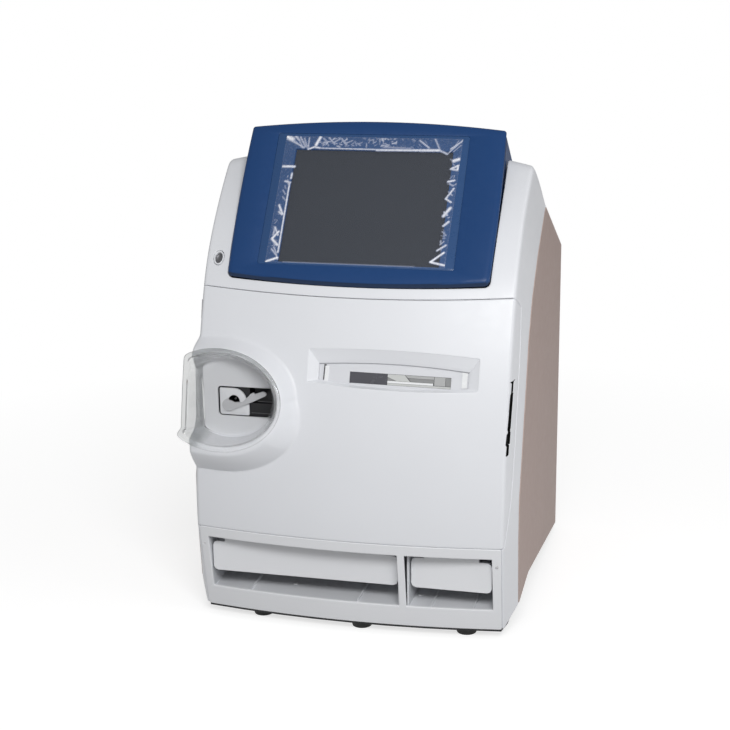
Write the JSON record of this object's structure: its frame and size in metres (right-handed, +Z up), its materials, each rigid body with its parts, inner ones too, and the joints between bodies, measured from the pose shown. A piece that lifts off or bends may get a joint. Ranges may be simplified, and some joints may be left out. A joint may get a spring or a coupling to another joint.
{
  "type": "blood gas analyzer",
  "caption": "Bench-top blood gas analyzer: hinged white front door with a guarded sample port and sensor window, leaning touch screen, two reagent bays with flaps, grey cover.",
  "frame": {"origin": "centre of the machine's box, on the bench", "axes": "+Z up, -Y towards the user, +X to the user's right"},
  "size_m": [0.356, 0.3766, 0.5229],
  "materials": {
    "white_plastic": "satin moulded white",
    "light_grey_plastic": "satin light grey",
    "blue_plastic": "satin dark blue",
    "grey_painted_metal": "semi-gloss warm grey paint",
    "black_plastic": "satin black",
    "black_rubber": "matte",
    "steel": "ground",
    "zinc_plated_steel": "zinc plated",
    "aluminium": "machined",
    "clear_plastic": "clear polished plastic",
    "screen_glass": "dark, switched off",
    "clear_film": "clear crinkled film",
    "circuit_board": "solder mask",
    "paper": "thermal paper"
  },
  "bodies": {
    "chassis": {"front_frame": "white_plastic", "bay_frame": "white_plastic", "bay_tray_left": "light_grey_plastic", "bay_tray_right": "light_grey_plastic", "flap_pin_left": "steel", "flap_pin_right": "steel", "case_cover": "grey_painted_metal", "rear_panel": "grey_painted_metal", "base_plate": "black_plastic", "foot_front_left": "black_rubber", "foot_front_middle": "black_rubber", "foot_front_right": "black_rubber", "foot_rear_left": "black_rubber", "foot_rear_right": "black_rubber", "middle_deck": "zinc_plated_steel", "chassis_wall": "zinc_plated_steel", "sample_bracket": "zinc_plated_steel", "port_block": "light_grey_plastic", "needle_housing": "black_plastic", "lever_pin": "steel", "screen_bezel": "blue_plastic", "screen_housing": "blue_plastic", "touch_glass": "screen_glass", "display_panel": "black_plastic", "display_board": "circuit_board", "screen_film": "clear_film", "printer_body": "black_plastic", "printer_lid_pin": "steel", "button_ring": "light_grey_plastic", "button_switch": "black_plastic", "frame_hinge_top": "zinc_plated_steel", "frame_hinge_bottom": "zinc_plated_steel", "sensor_block": "aluminium", "pump_body": "black_plastic", "valve_manifold": "light_grey_plastic", "main_board": "circuit_board", "power_supply": "zinc_plated_steel", "fan_frame": "black_plastic", "data_ports": "black_plastic", "power_inlet": "black_plastic", "switch_body": "black_plastic"},
    "door": {"front_door": "white_plastic", "port_guard": "clear_plastic", "window_plate": "white_plastic", "window_lens": "screen_glass", "door_hinge_top": "zinc_plated_steel", "door_hinge_bottom": "zinc_plated_steel"},
    "latch": {"door_latch": "black_plastic"},
    "lever": {"sample_lever": "light_grey_plastic"},
    "probe": {"sample_probe": "steel"},
    "flap_left": {"bay_flap_left": "white_plastic"},
    "flap_right": {"bay_flap_right": "white_plastic"},
    "lid": {"printer_lid": "blue_plastic"},
    "platen": {"platen_roller": "black_rubber"},
    "paper": {"paper_roll": "paper"},
    "button": {"standby_button": "light_grey_plastic"},
    "pump": {"pump_rotor": "light_grey_plastic"},
    "fan": {"fan_rotor": "black_plastic"},
    "rocker": {"power_rocker": "black_plastic"}
  },
  "joints": [
    {"name": "front_door_swing", "type": "hinge", "parent": "chassis", "child": "door", "pos_m": [-0.1705, -0.10017, 0.332], "axis": [0, -0.2669, -0.9637], "range_deg": [0, 95]},
    {"name": "door_latch_pull", "type": "hinge", "parent": "door", "child": "latch", "pos_m": [0.15993, -0.14138, 0.24325], "axis": [0, 0.2575, 0.9663], "range_deg": [0, 5], "stiffness_Nm_per_rad": 0.02},
    {"name": "sample_lever_turn", "type": "hinge", "parent": "chassis", "child": "lever", "pos_m": [-0.1312, -0.13944, 0.2352], "axis": [0, 1, 0], "range_deg": [0, 22]},
    {"name": "sample_probe_reach", "type": "slide", "parent": "chassis", "child": "probe", "axis": [0, -1, 0], "range_m": [0, 0.0115]},
    {"name": "bay_flap_left_swing", "type": "hinge", "parent": "chassis", "child": "flap_left", "pos_m": [-0.04825, -0.15314, 0.0985], "axis": [1, 0, 0], "range_deg": [0, 75]},
    {"name": "bay_flap_right_swing", "type": "hinge", "parent": "chassis", "child": "flap_right", "pos_m": [0.10925, -0.15314, 0.0985], "axis": [1, 0, 0], "range_deg": [0, 75]},
    {"name": "printer_lid_swing", "type": "hinge", "parent": "chassis", "child": "lid", "pos_m": [0.03, 0.06995, 0.46388], "axis": [-1, 0, 0], "range_deg": [0, 75]},
    {"name": "platen_roller_spin", "type": "hinge", "parent": "chassis", "child": "platen", "pos_m": [0.03, 0.02636, 0.4585], "axis": [1, 0, 0], "continuous": true},
    {"name": "paper_roll_spin", "type": "hinge", "parent": "chassis", "child": "paper", "pos_m": [0.03, 0.06236, 0.4405], "axis": [1, 0, 0], "continuous": true},
    {"name": "standby_button_press", "type": "slide", "parent": "chassis", "child": "button", "axis": [0, 0.8433, -0.5374], "range_m": [0, 0.0015], "stiffness_N_per_m": 300},
    {"name": "pump_rotor_spin", "type": "hinge", "parent": "chassis", "child": "pump", "pos_m": [0.096, -0.07964, 0.185], "axis": [0, 1, 0], "continuous": true},
    {"name": "fan_rotor_spin", "type": "hinge", "parent": "chassis", "child": "fan", "pos_m": [-0.084, 0.17386, 0.23], "axis": [0, 1, 0], "continuous": true},
    {"name": "power_rocker_tip", "type": "hinge", "parent": "chassis", "child": "rocker", "pos_m": [0.081, 0.18416, 0.06], "axis": [1, 0, 0], "range_deg": [0, 9]}
  ]
}
